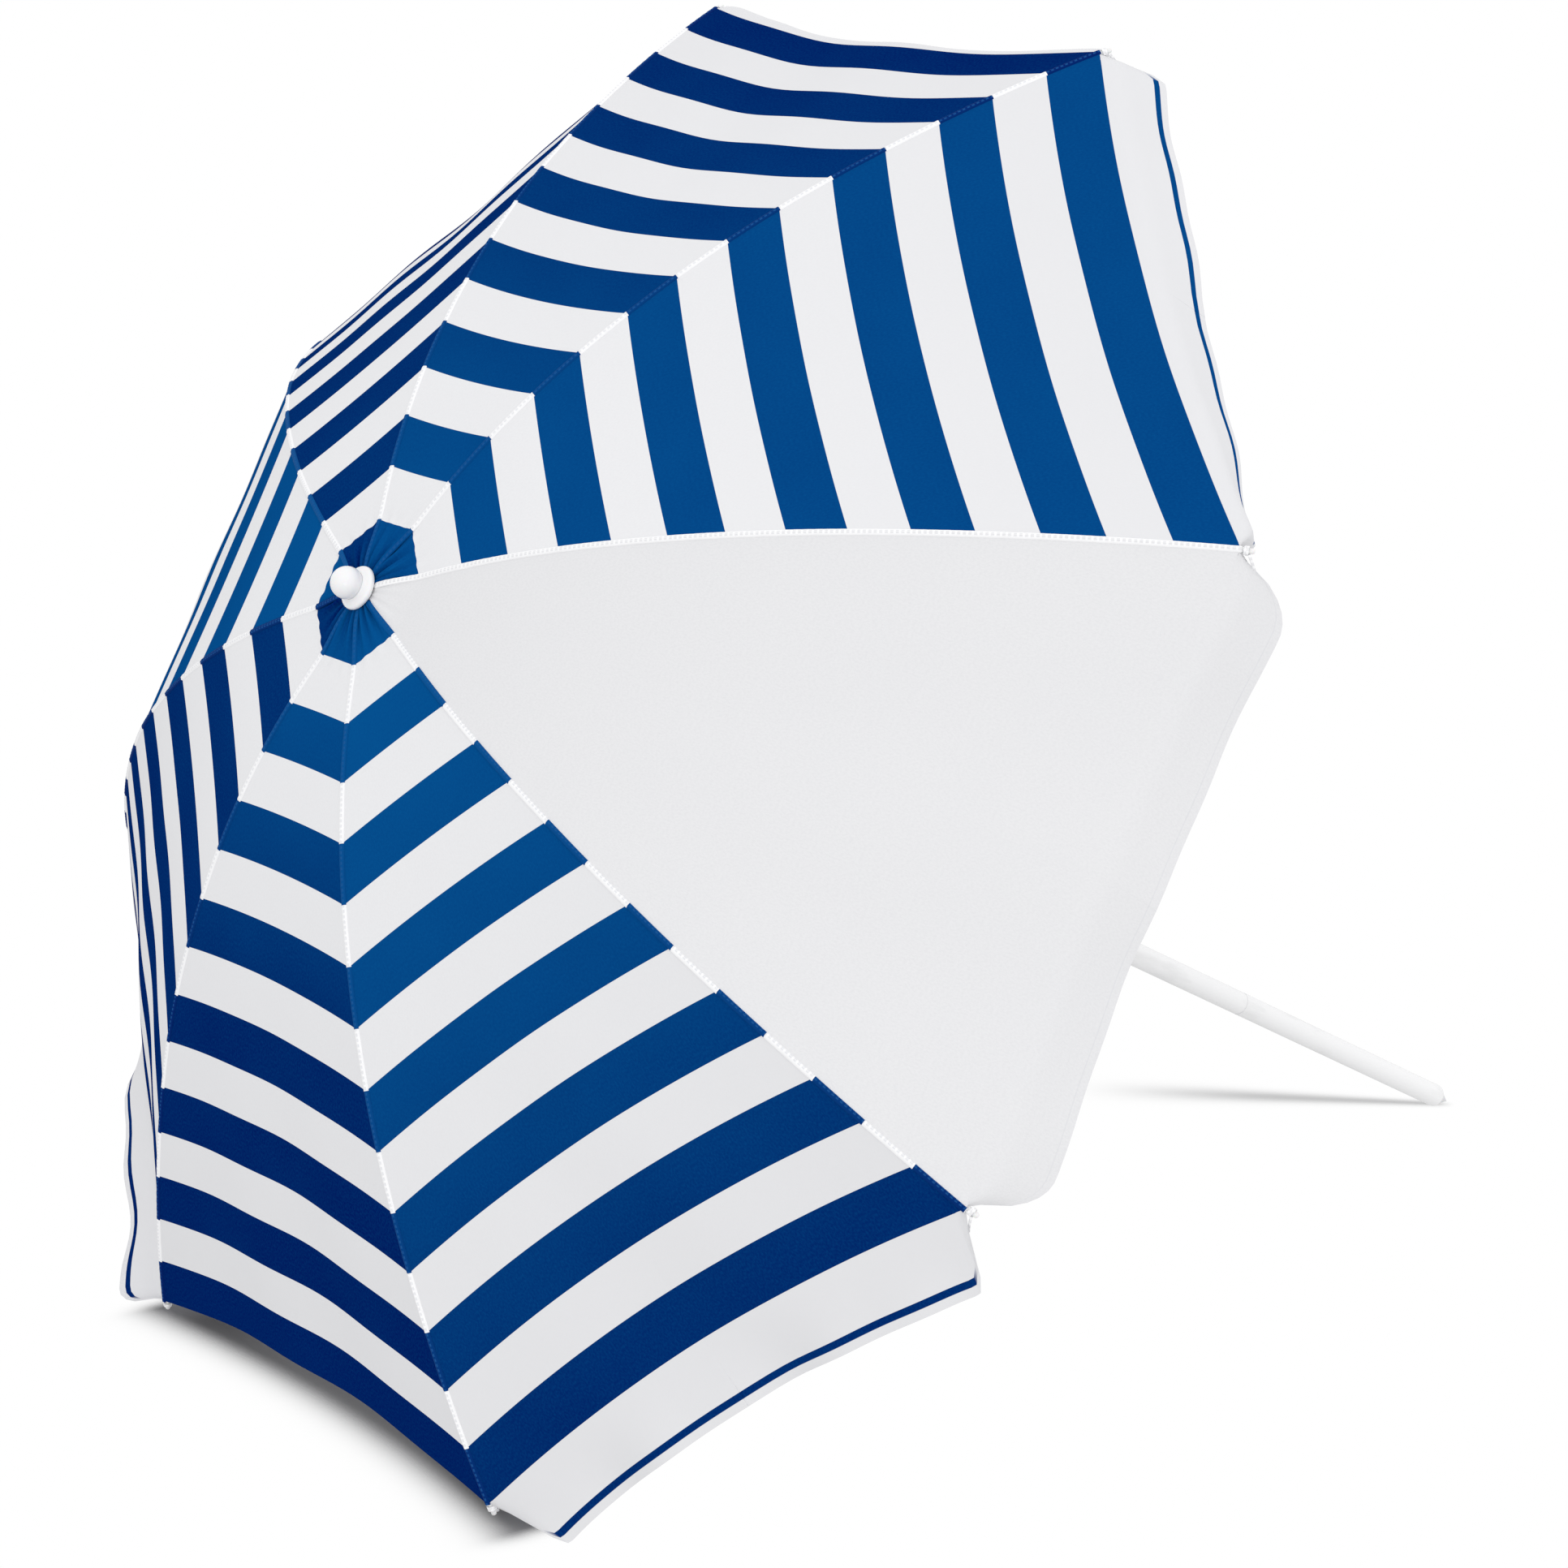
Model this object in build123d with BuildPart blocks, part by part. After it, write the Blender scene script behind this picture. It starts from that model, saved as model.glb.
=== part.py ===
from build123d import *
from math import atan2, cos, degrees, radians, sin, sqrt
import os

# Beach umbrella with eight bowed ribs, a two-part pole and a tilt joint.
# Frame: millimetres, +Z up the pole, origin at the tip of the ground spike.
# Rib 3 and rib 4 stand either side of -Y and carry the plain gore; ribs count clockwise from above.

# ---------------------------------------------------------------- driving sizes
rib_count = 8
crown_height = 1791        # spike tip to the cloth at the pole axis
canopy_reach = 918         # along a rib, from the pole axis to the hem seam
rib_bends = (20.0, 14.6, 9.2)   # degrees turned over each third of the reach
crown_rise = 4.1           # degrees the cloth climbs as it leaves the finial
gore_bow = {1: 40, 2: 19, 3: 15, 4: 26, 5: 40, 6: 45, 7: 45, 8: 45}   # how far the rim pulls in towards the crown
                           # in the gore that starts at each rib: tight over the plain gore, slack at the back
valance_drop = 76
valance_flare = 8          # degrees outwards from the vertical
valance_split = 9          # the valance stops this far from the rib's plane
cloth = 1.0
cloth_clearance = 0.5      # air between the cloth and the wire under it

gap = 0.3                  # air between pieces that move past each other
run_fit = 0.08             # radial clearance of a turning or sliding fit
seat_fit = 0.02            # radial clearance of a fixed pin or plug

upper_pole_od = 25
upper_pole_wall = 1.2
lower_pole_wall = 1.4
lower_pole_top = 770
lower_pole_dome = 8        # radius of the rounded lower end
pole_groove_height = 420
pole_groove_width = 2.5
pole_groove_depth = 0.4
spike_length = 20
spike_radius = 8.5
pole_overlap = 250         # upper pole held inside the lower one at rest

rib_wire = 4.0
rib_eye_radius = 3.5
blade = 3.0                # thickness of every flattened rib and strut end
hinge_pin = 3.0
rib_hinge_radius = 20      # crown hinge circle
rib_hinge_drop = 5         # hinge below the cloth's apex
fold_angle = 62.5          # how far a rib folds down

strut_station = 330        # along the rib, where the strut joins it
strut_length = 340
strut_wire = 4.0
strut_hinge_drop = 6.5     # strut hinge under the rib's centre line
runner_hinge_radius = 23
cross_pin_length = 10

hub_radius = 27
hub_skirt = 24
hub_skirt_radius = 16
runner_skirt = 46
runner_sleeve_radius = 18
runner_flange_radius = 29
runner_roof = 6            # flange above the strut hinges

finial_ball_radius = 16.5
finial_ball_height = 29    # ball centre above the cloth's apex
finial_flange_radius = 23
finial_neck_radius = 9.5
finial_stem_radius = 4

tip_cap_radius = 2.7
tip_cap_length = 12
tip_run = 8                # bare wire beyond the hem seam

# ---------------------------------------------------------------- worked-out sizes
upper_pole_radius = upper_pole_od / 2
upper_bore_radius = upper_pole_radius - upper_pole_wall
lower_bore_radius = upper_pole_radius + run_fit
lower_pole_radius = lower_bore_radius + lower_pole_wall
half_step = 180 / rib_count
rib_inset = cloth / 2 + cloth_clearance + rib_wire / 2
third = canopy_reach / len(rib_bends)


def cloth_line(s, inset=0.0):
    """Radius, height and downward slope (degrees) at arc length s on the cloth over a rib."""
    r, z, slope = 0.0, crown_height, -crown_rise
    for bend in rib_bends:
        run = min(s, third) if bend != rib_bends[-1] else s
        turn = radians(bend) * run / third
        arc_radius = third / radians(bend)
        start = radians(slope)
        r += arc_radius * (sin(start + turn) - sin(start))
        z -= arc_radius * (cos(start) - cos(start + turn))
        slope += degrees(turn)
        s -= run
        if s <= 0:
            break
    lean = radians(slope)
    return r - inset * sin(lean), z - inset * cos(lean), slope


def azimuth(k):
    """Direction of rib k, in degrees about +Z."""
    return -90 + half_step - 2 * half_step * (k - 3)


def radial(angle, r, z):
    return Vector(r * cos(radians(angle)), r * sin(radians(angle)), z)


def upright(angle):
    """Plane through the pole axis: local x outwards, local y up."""
    a = radians(angle)
    return Plane(origin=(0, 0, 0), x_dir=(cos(a), sin(a), 0), z_dir=(sin(a), -cos(a), 0))


def finish(builder, name):
    builder.part.label = name
    export_step(builder.part, f"parts/{name}.step")
    print(f"{name}: {builder.part.volume:.0f} mm3")


# Linkage, in the rib's own upright plane: (radius, height).
rib_hinge = (rib_hinge_radius, crown_height - rib_hinge_drop)
strut_hinge = cloth_line(strut_station, rib_inset + strut_hinge_drop)[:2]
arm = (strut_hinge[0] - rib_hinge[0], strut_hinge[1] - rib_hinge[1])


def folded(angle):
    """The strut hinge after the rib has folded down by angle degrees."""
    a = radians(-angle)
    return (rib_hinge[0] + arm[0] * cos(a) - arm[1] * sin(a),
            rib_hinge[1] + arm[0] * sin(a) + arm[1] * cos(a))


def runner_height(angle):
    r, z = folded(angle)
    return z - sqrt(strut_length**2 - (r - runner_hinge_radius)**2)


runner_open = runner_height(0)
runner_closed = runner_height(fold_angle)
runner_travel = runner_open - runner_closed
strut_lean = degrees(atan2(strut_hinge[1] - runner_open, strut_hinge[0] - runner_hinge_radius))
strut_lean_closed = degrees(atan2(folded(fold_angle)[1] - runner_closed,
                                  folded(fold_angle)[0] - runner_hinge_radius))

# Tilt joint below the closed runner.
tilt_round = 12.5
tilt_cheek = 7.2
tilt_tongue = 10
tilt_collar_radius = 14
tilt_neck = 14             # pivot to the tongue's collar
tilt_collar = 8
tilt_depth = 16            # pivot to the floor of the fork
tilt_pin_radius = 3
runner_to_tilt = 24        # closed runner to the tilt joint's collar
plug_length = 30
tilt_height = runner_closed - runner_skirt - runner_to_tilt - tilt_collar - tilt_neck
fork_base = tilt_height - tilt_depth - 14

rim_radius, rim_height, rim_slope = cloth_line(canopy_reach)
ribs = range(1, rib_count + 1)

os.makedirs("parts", exist_ok=True)


# ---------------------------------------------------------------- pole
with BuildPart() as lower_pole:
    with BuildSketch(Plane.XY.offset(spike_length)):
        Circle(lower_pole_radius)
    extrude(amount=lower_pole_top - spike_length)
    fillet(lower_pole.edges().group_by(Axis.Z)[0], radius=lower_pole_dome)
    with BuildSketch(Plane.XY.offset(spike_length + 3 * lower_pole_wall)):
        Circle(lower_bore_radius)
    extrude(amount=lower_pole_top, mode=Mode.SUBTRACT)
    with BuildSketch(Plane.XY.offset(spike_length)):
        Circle(spike_radius / 2 + seat_fit)
    extrude(amount=3 * lower_pole_wall, mode=Mode.SUBTRACT)
    # rolled groove that marks how far the pole goes into a stand
    with BuildSketch(Plane.XY.offset(pole_groove_height)):
        Circle(2 * lower_pole_radius)
        Circle(lower_pole_radius - pole_groove_depth, mode=Mode.SUBTRACT)
    extrude(amount=pole_groove_width, mode=Mode.SUBTRACT)
finish(lower_pole, "lower_pole")

# The spike's cone stands under the pole's end and its shank plugs the hole there.
spike_shank = 12
with BuildPart() as ground_spike:
    with BuildSketch(Plane.XZ):
        with BuildLine():
            Polyline((0, 0), (spike_radius, spike_length - 2), (spike_radius, spike_length),
                     (spike_radius / 2, spike_length), (spike_radius / 2, spike_length + spike_shank),
                     (0, spike_length + spike_shank), close=True)
        make_face()
    revolve(axis=Axis.Z)
finish(ground_spike, "ground_spike")

# Clamp: a collar that covers the lower pole's mouth and is bored to guide the upper pole.
clamp_wall = 3.5
clamp_grip = 26            # over the lower pole
clamp_guide = 30           # above its mouth
clamp_radius = lower_pole_radius + clamp_wall
boss_radius = 8
boss_reach = clamp_radius + 9
boss_height = lower_pole_top + clamp_guide / 2
screw_radius = 3
with BuildPart() as pole_clamp:
    with BuildSketch(Plane.XY.offset(lower_pole_top - clamp_grip)):
        Circle(clamp_radius)
    extrude(amount=clamp_grip + clamp_guide)
    chamfer(pole_clamp.edges().filter_by(GeomType.CIRCLE), length=1)
    with BuildSketch(Plane.YZ.offset(upper_pole_radius)):
        with Locations((0, boss_height)):
            Circle(boss_radius)
    extrude(amount=boss_reach - upper_pole_radius)
    with BuildSketch(Plane.XY.offset(lower_pole_top - clamp_grip)):
        Circle(lower_pole_radius + seat_fit)
    extrude(amount=clamp_grip, mode=Mode.SUBTRACT)
    with BuildSketch(Plane.XY.offset(lower_pole_top)):
        Circle(upper_pole_radius + run_fit)
    extrude(amount=clamp_guide, mode=Mode.SUBTRACT)
    with BuildSketch(Plane.YZ.offset(upper_pole_radius)):
        with Locations((0, boss_height)):
            Circle(screw_radius + run_fit)
    extrude(amount=boss_reach, mode=Mode.SUBTRACT)
finish(pole_clamp, "pole_clamp")

# Knob on +X: a screw with a four-lobed head.
knob_radius = 15
knob_lobe = 5
knob_thickness = 13
knob_hub = boss_reach + gap
with BuildPart() as clamp_knob:
    with BuildSketch(Plane.YZ.offset(knob_hub)):
        with Locations((0, boss_height)):
            Circle(knob_radius - knob_lobe)
            with PolarLocations(knob_radius - knob_lobe, 4):
                Circle(knob_lobe)
    extrude(amount=knob_thickness)
    fillet(clamp_knob.edges().group_by(Axis.X)[-1], radius=1.5)
    with BuildSketch(Plane.YZ.offset(upper_pole_radius + gap)):
        with Locations((0, boss_height)):
            Circle(screw_radius)
    extrude(amount=knob_hub - upper_pole_radius - gap)
finish(clamp_knob, "clamp_knob")

upper_pole_bottom = lower_pole_top - pole_overlap
with BuildPart() as middle_pole:
    with BuildSketch(Plane.XY.offset(upper_pole_bottom)):
        Circle(upper_pole_radius)
        Circle(upper_bore_radius, mode=Mode.SUBTRACT)
    extrude(amount=fork_base - upper_pole_bottom)
finish(middle_pole, "middle_pole")

# ---------------------------------------------------------------- tilt joint, turning about X
fork_collar = 12
cheek_inner = tilt_tongue / 2 + gap
cheek_outer = cheek_inner + tilt_cheek
button_radius = 4
button_proud = 3
button_height = tilt_height - tilt_depth + 2
with BuildPart() as tilt_fork:
    with BuildSketch(Plane.XY.offset(fork_base - plug_length)):
        Circle(upper_bore_radius - seat_fit)
    extrude(amount=plug_length)
    with BuildSketch(Plane.XY.offset(fork_base)):
        Circle(tilt_collar_radius)
    extrude(amount=fork_collar)
    with BuildSketch(Plane.YZ):
        with Locations((0, tilt_height)):
            Circle(tilt_round)
        with Locations((0, (tilt_height + fork_base) / 2)):
            Rectangle(2 * tilt_round, tilt_height - fork_base)
    extrude(amount=cheek_outer, both=True)
    with BuildSketch(Plane.YZ):
        with Locations((0, tilt_height - tilt_depth + plug_length)):
            Rectangle(4 * tilt_round, 2 * plug_length)
    extrude(amount=cheek_inner, both=True, mode=Mode.SUBTRACT)
    with BuildSketch(Plane.YZ):
        with Locations((0, tilt_height)):
            Circle(tilt_pin_radius + seat_fit)
    extrude(amount=cheek_outer, both=True, mode=Mode.SUBTRACT)
    with BuildSketch(Plane.YZ.offset(cheek_inner + 1.2)):
        with Locations((0, button_height)):
            Circle(button_radius + run_fit)
    extrude(amount=tilt_cheek, mode=Mode.SUBTRACT)
finish(tilt_fork, "tilt_fork")

with BuildPart() as tilt_pin:
    with BuildSketch(Plane.YZ.offset(-cheek_outer)):
        with Locations((0, tilt_height)):
            Circle(tilt_pin_radius)
    extrude(amount=2 * cheek_outer)
    for side in (-1, 1):
        with BuildSketch(Plane.YZ.offset(side * cheek_outer)):
            with Locations((0, tilt_height)):
                Circle(tilt_pin_radius + 2)
        extrude(amount=side * 1.5)
finish(tilt_pin, "tilt_pin")

with BuildPart() as tilt_button:
    with BuildSketch(Plane.YZ.offset(cheek_inner + 1.2 + button_proud)):
        with Locations((0, button_height)):
            Circle(button_radius)
    extrude(amount=tilt_cheek - 1.2)
    fillet(tilt_button.edges().group_by(Axis.X)[-1], radius=1)
finish(tilt_button, "tilt_button")

top_pole_bottom = tilt_height + tilt_neck + tilt_collar
with BuildPart() as tilt_tongue_piece:
    with BuildSketch(Plane.YZ):
        with Locations((0, tilt_height)):
            Circle(tilt_round - 1)
        with Locations((0, tilt_height + tilt_neck / 2)):
            Rectangle(2 * tilt_round - 2, tilt_neck)
    extrude(amount=tilt_tongue / 2, both=True)
    with BuildSketch(Plane.XY.offset(tilt_height + tilt_neck)):
        Circle(tilt_collar_radius)
    extrude(amount=tilt_collar)
    with BuildSketch(Plane.XY.offset(top_pole_bottom)):
        Circle(upper_bore_radius - seat_fit)
    extrude(amount=plug_length)
    with BuildSketch(Plane.YZ):
        with Locations((0, tilt_height)):
            Circle(tilt_pin_radius + run_fit)
    extrude(amount=tilt_tongue, both=True, mode=Mode.SUBTRACT)
finish(tilt_tongue_piece, "tilt_tongue")

# ---------------------------------------------------------------- top pole, hub and finial
hub_top = crown_height - cloth
hub_bottom = rib_hinge[1] - 6
pole_end = hub_bottom + 2
catch_width = 5
catch_height = 14
catch_proud = 4
catch_centre = runner_open - runner_skirt + 12
with BuildPart() as top_pole:
    with BuildSketch(Plane.XY.offset(top_pole_bottom)):
        Circle(upper_pole_radius)
        Circle(upper_bore_radius, mode=Mode.SUBTRACT)
    extrude(amount=pole_end - top_pole_bottom)
    with BuildSketch(Plane.XZ):
        with Locations((0, catch_centre)):
            Rectangle(catch_width + 2 * gap, catch_height + 2 * gap)
    extrude(amount=2 * upper_pole_radius, mode=Mode.SUBTRACT)
finish(top_pole, "top_pole")

slot_width = blade + 2 * gap
slot_root = hub_skirt_radius
with BuildPart() as crown_hub:
    with BuildSketch(Plane.XY.offset(hub_bottom)):
        Circle(hub_radius)
    extrude(amount=hub_top - hub_bottom)
    with BuildSketch(Plane.XY.offset(hub_bottom - hub_skirt)):
        Circle(hub_skirt_radius)
    extrude(amount=hub_skirt)
    with BuildSketch(Plane.XY.offset(hub_bottom - hub_skirt)):
        Circle(upper_pole_radius + seat_fit)
    extrude(amount=hub_skirt + pole_end - hub_bottom, mode=Mode.SUBTRACT)
    with BuildSketch(Plane.XY.offset(hub_bottom)):
        Circle(finial_stem_radius + seat_fit)
    extrude(amount=hub_top - hub_bottom, mode=Mode.SUBTRACT)
    with BuildSketch(Plane.XY.offset(hub_bottom)):
        with PolarLocations(slot_root + hub_radius / 2, rib_count, start_angle=half_step):
            Rectangle(hub_radius, slot_width)
    extrude(amount=hub_top - hub_bottom, mode=Mode.SUBTRACT)
    for k in ribs:
        with BuildSketch(upright(azimuth(k))):
            with Locations(rib_hinge):
                Circle(hinge_pin / 2 + seat_fit)
        extrude(amount=cross_pin_length / 2, both=True, mode=Mode.SUBTRACT)
finish(crown_hub, "crown_hub")

with BuildPart() as crown_pins:
    for k in ribs:
        with BuildSketch(upright(azimuth(k))):
            with Locations(rib_hinge):
                Circle(hinge_pin / 2)
        extrude(amount=cross_pin_length / 2, both=True)
finish(crown_pins, "crown_pins")

# Finial: a flared flange that presses the cloth down, and a ball on its neck.
flange_base = cloth_line(finial_flange_radius)[1] + cloth / 2 + gap
neck_top = crown_height + finial_ball_height - finial_ball_radius + 3
with BuildPart() as finial_flange:
    with BuildSketch(Plane.XZ):
        with BuildLine():
            Polyline((finial_neck_radius, neck_top), (finial_stem_radius, neck_top),
                     (finial_stem_radius, flange_base), (finial_flange_radius, flange_base),
                     (finial_flange_radius, flange_base + 3))
            RadiusArc((finial_flange_radius, flange_base + 3), (finial_neck_radius, neck_top), 18)
        make_face()
    revolve(axis=Axis.Z)
finish(finial_flange, "finial_flange")

ball_centre = crown_height + finial_ball_height
with BuildPart() as finial_ball:
    with BuildSketch(Plane.XZ):
        with BuildLine():
            CenterArc((0, ball_centre), finial_ball_radius, -90, 180)
            Line((0, ball_centre + finial_ball_radius), (0, ball_centre - finial_ball_radius))
        make_face()
    revolve(axis=Axis.Z)
    with BuildSketch(Plane.XY.offset(neck_top)):
        Circle(2 * finial_ball_radius)
    extrude(amount=-finial_ball_radius, mode=Mode.SUBTRACT)
    with BuildSketch(Plane.XY.offset(pole_end)):
        Circle(finial_stem_radius - seat_fit)
    extrude(amount=ball_centre - pole_end)
finish(finial_ball, "finial_ball")

# ---------------------------------------------------------------- runner and its catch
runner_top = runner_open + runner_roof
runner_floor = runner_open - 8
pocket_width = cross_pin_length + 2 * gap
window_height = catch_height + 6
with BuildPart() as runner:
    with BuildSketch(Plane.XY.offset(runner_open - runner_skirt)):
        Circle(runner_sleeve_radius)
    extrude(amount=runner_skirt + runner_roof)
    with BuildSketch(Plane.XY.offset(runner_floor)):
        Circle(runner_flange_radius)
    extrude(amount=runner_top - runner_floor)
    with BuildSketch(Plane.XY.offset(runner_open - runner_skirt)):
        Circle(runner_sleeve_radius + 2.5)
    extrude(amount=6)
    with BuildSketch(Plane.XY.offset(runner_open - runner_skirt)):
        Circle(upper_pole_radius + run_fit)
    extrude(amount=runner_skirt + runner_roof, mode=Mode.SUBTRACT)
    # strut slots, and wider pockets open below for the cross pins
    with BuildSketch(Plane.XY.offset(runner_floor)):
        with PolarLocations(runner_sleeve_radius + 1 + runner_flange_radius / 2, rib_count,
                            start_angle=half_step):
            Rectangle(runner_flange_radius, slot_width)
    extrude(amount=runner_top - runner_floor, mode=Mode.SUBTRACT)
    pocket_root = runner_hinge_radius - hinge_pin / 2 - gap
    with BuildSketch(Plane.XY.offset(runner_floor)):
        with PolarLocations(pocket_root + runner_flange_radius / 2, rib_count, start_angle=half_step):
            Rectangle(runner_flange_radius, pocket_width)
    extrude(amount=runner_open + hinge_pin / 2 + gap - runner_floor, mode=Mode.SUBTRACT)
    # window for the catch, and a groove above it that lets the runner pass
    with BuildSketch(Plane.XZ):
        with Locations((0, catch_centre)):
            Rectangle(catch_width + 2, window_height)
    extrude(amount=2 * runner_sleeve_radius, mode=Mode.SUBTRACT)
    with BuildSketch(Plane.XZ):
        with Locations((0, (catch_centre + runner_top) / 2)):
            Rectangle(catch_width + 2 * gap, runner_top - catch_centre)
    extrude(amount=upper_pole_radius + catch_proud + gap, mode=Mode.SUBTRACT)
finish(runner, "runner")

with BuildPart() as runner_catch:
    with BuildSketch(Plane.XZ.offset(upper_bore_radius - 4)):
        with Locations((0, catch_centre)):
            Rectangle(catch_width, catch_height)
    extrude(amount=4 + upper_pole_wall + catch_proud)
    fillet(runner_catch.faces().sort_by(Axis.Y)[0].edges(), radius=1.5)
finish(runner_catch, "runner_catch")

# ---------------------------------------------------------------- ribs, fittings and struts
rib_start = rib_hinge_radius + 11      # arc length where the round wire begins
for k in ribs:
    plane = upright(azimuth(k))
    root = cloth_line(rib_start, rib_inset)
    with BuildPart() as rib:
        with BuildLine(plane):
            here = rib_start
            start = root[:2]
            for i, bend in enumerate(rib_bends):
                end = (i + 1) * third
                lean = radians(cloth_line(here)[2])
                arc = JernArc(start=start, tangent=(cos(lean), -sin(lean)),
                              radius=third / radians(bend) - rib_inset,
                              arc_size=-bend * (end - here) / third)
                start = cloth_line(end, rib_inset)[:2]
                here = end
            Line(arc @ 1, arc @ 1 + (arc % 1) * tip_run)
        lean = radians(root[2])
        with BuildSketch(Plane(origin=plane.from_local_coords(Vector(root[0], root[1], 0)),
                               z_dir=plane.x_dir * cos(lean) - plane.y_dir * sin(lean))):
            Circle(rib_wire / 2)
        sweep(transition=Transition.ROUND)
        with BuildSketch(plane):
            with Locations(rib_hinge):
                Circle(rib_eye_radius)
            with Locations(cloth_line(rib_start + 3, rib_inset)[:2]):
                Circle(rib_wire / 2 - 0.2)
            make_hull()
        extrude(amount=blade / 2, both=True)
        with BuildSketch(plane):
            with Locations(rib_hinge):
                Circle(hinge_pin / 2 + run_fit)
        extrude(amount=blade, both=True, mode=Mode.SUBTRACT)
    finish(rib, f"rib_{k}")

# Each rib carries a saddle that holds the strut's pin, and a rounded cap on its end.
saddle_length = 15
saddle_width = 7.4
for k in ribs:
    plane = upright(azimuth(k))
    r, z, slope = cloth_line(strut_station, rib_inset)
    seat = Plane(origin=plane.from_local_coords(Vector(r, z, 0)), z_dir=plane.z_dir,
                 x_dir=plane.x_dir * cos(radians(slope)) - plane.y_dir * sin(radians(slope)))
    r_tip, z_tip, tip_slope = cloth_line(canopy_reach, rib_inset)
    tip_dir = plane.x_dir * cos(radians(tip_slope)) - plane.y_dir * sin(radians(tip_slope))
    tip_point = plane.from_local_coords(Vector(r_tip, z_tip, 0))
    with BuildPart() as fittings:
        with BuildSketch(seat):
            with Locations((0, -strut_hinge_drop / 2)):
                Rectangle(saddle_length, strut_hinge_drop + 3)
            with Locations((0, -strut_hinge_drop)):
                Circle(rib_eye_radius + 0.8)
        extrude(amount=saddle_width / 2, both=True)
        with BuildSketch(Plane(origin=seat.origin - seat.x_dir * saddle_length,
                               z_dir=seat.x_dir)):
            Circle(rib_wire / 2 + 0.1)
        extrude(amount=2 * saddle_length, mode=Mode.SUBTRACT)
        with BuildSketch(seat):
            with Locations((0, -strut_hinge_drop - 2)):
                Rectangle(2 * saddle_length, 2 * rib_eye_radius + 4 + 2 * gap)
        extrude(amount=slot_width / 2, both=True, mode=Mode.SUBTRACT)
        with BuildSketch(seat):
            with Locations((0, -strut_hinge_drop)):
                Circle(hinge_pin / 2 - run_fit)
        extrude(amount=saddle_width / 2 + 0.8, both=True)
        with BuildSketch(Plane(origin=tip_point + tip_dir, z_dir=tip_dir)):
            Circle(tip_cap_radius)
        extrude(amount=tip_cap_length)
        fillet(fittings.faces().sort_by(Axis(tip_point, tip_dir))[-1].edges(), radius=2.3)
        with BuildSketch(Plane(origin=tip_point, z_dir=tip_dir)):
            Circle(rib_wire / 2 + seat_fit)
        extrude(amount=tip_run + seat_fit, mode=Mode.SUBTRACT)
    finish(fittings, f"rib_fittings_{k}")

# Struts: wire with flattened ends, an eye at the rib and a cross pin at the runner.
blade_length = 12
for k in ribs:
    plane = upright(azimuth(k))
    lean = radians(strut_lean)
    line = plane.x_dir * cos(lean) + plane.y_dir * sin(lean)
    foot = plane.from_local_coords(Vector(runner_hinge_radius, runner_open, 0))
    side = Plane(origin=foot, x_dir=line, z_dir=plane.z_dir)
    with BuildPart() as strut:
        with BuildSketch(Plane(origin=foot + line * blade_length, z_dir=line)):
            Circle(strut_wire / 2)
        extrude(amount=strut_length - 2 * blade_length)
        for near, far, eye in ((0, blade_length + 3, rib_eye_radius - 0.5),
                               (strut_length, strut_length - blade_length - 3, rib_eye_radius)):
            with BuildSketch(side):
                with Locations((near, 0)):
                    Circle(eye)
                with Locations((far, 0)):
                    Circle(strut_wire / 2 - 0.2)
                make_hull()
            extrude(amount=blade / 2, both=True)
        with BuildSketch(side):
            with Locations((strut_length, 0)):
                Circle(hinge_pin / 2)
        extrude(amount=blade, both=True, mode=Mode.SUBTRACT)
        with BuildSketch(side):
            Circle(hinge_pin / 2)
        extrude(amount=cross_pin_length / 2, both=True)
    finish(strut, f"strut_{k}")

# ---------------------------------------------------------------- canopy, two half gores between ribs
cloth_start = 14           # radius of the hole in the crown
gore_stations = 13
seam_gap = 0.6             # half of the air left at a rib seam and at a mid-gore crease


def gore_edges(k, side, s):
    """Rib point, mid-gore point and rib direction of the half gore at arc length s."""
    r, z, slope = cloth_line(s)
    lean = radians(slope)
    first_rib = k if side < 0 else (k - 2) % rib_count + 1
    bow = gore_bow[first_rib] * (s / canopy_reach)**2
    at_rib = radial(azimuth(k), r, z)
    at_mid = radial(azimuth(k) + side * half_step, r * cos(radians(half_step)) - bow * cos(lean),
                    z + bow * sin(lean))
    along = radial(azimuth(k) + side * half_step / 2, cos(lean), -sin(lean))
    return at_rib, at_mid, along


for k in ribs:
    for side, other in ((-1, k % rib_count + 1), (1, (k - 2) % rib_count + 1)):
        low, high = (k, other) if side < 0 else (other, k)
        with BuildPart() as half_gore:
            for i in range(gore_stations):
                s = cloth_start + (canopy_reach - cloth_start) * i / (gore_stations - 1)
                at_rib, at_mid, along = gore_edges(k, side, s)
                across = (at_mid - at_rib).normalized()
                normal = across.cross(along).normalized()
                if normal.Z < 0:
                    normal = -normal
                with BuildSketch(Plane(origin=(at_rib + at_mid) / 2, x_dir=across,
                                       z_dir=across.cross(normal))):
                    Rectangle((at_mid - at_rib).length - 2 * seam_gap, cloth)
            loft()
            outward = radial(azimuth(k) + side * half_step, 1, 0)
            down = outward * sin(radians(valance_flare)) - Vector(0, 0, cos(radians(valance_flare)))
            width = (at_mid - at_rib).length
            hang = Plane(origin=at_rib, x_dir=across, z_dir=across.cross(down))
            drop = Vector(down.dot(hang.x_dir), down.dot(hang.y_dir)) * valance_drop
            with BuildSketch(hang):
                with BuildLine():
                    Polyline((valance_split, 0), (width - seam_gap, 0), (width - seam_gap + drop.X, drop.Y),
                             (valance_split + drop.X, drop.Y), close=True)
                make_face()
            extrude(amount=cloth / 2, both=True)
        finish(half_gore, f"gore{low}{high}_rib{k}")

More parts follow.
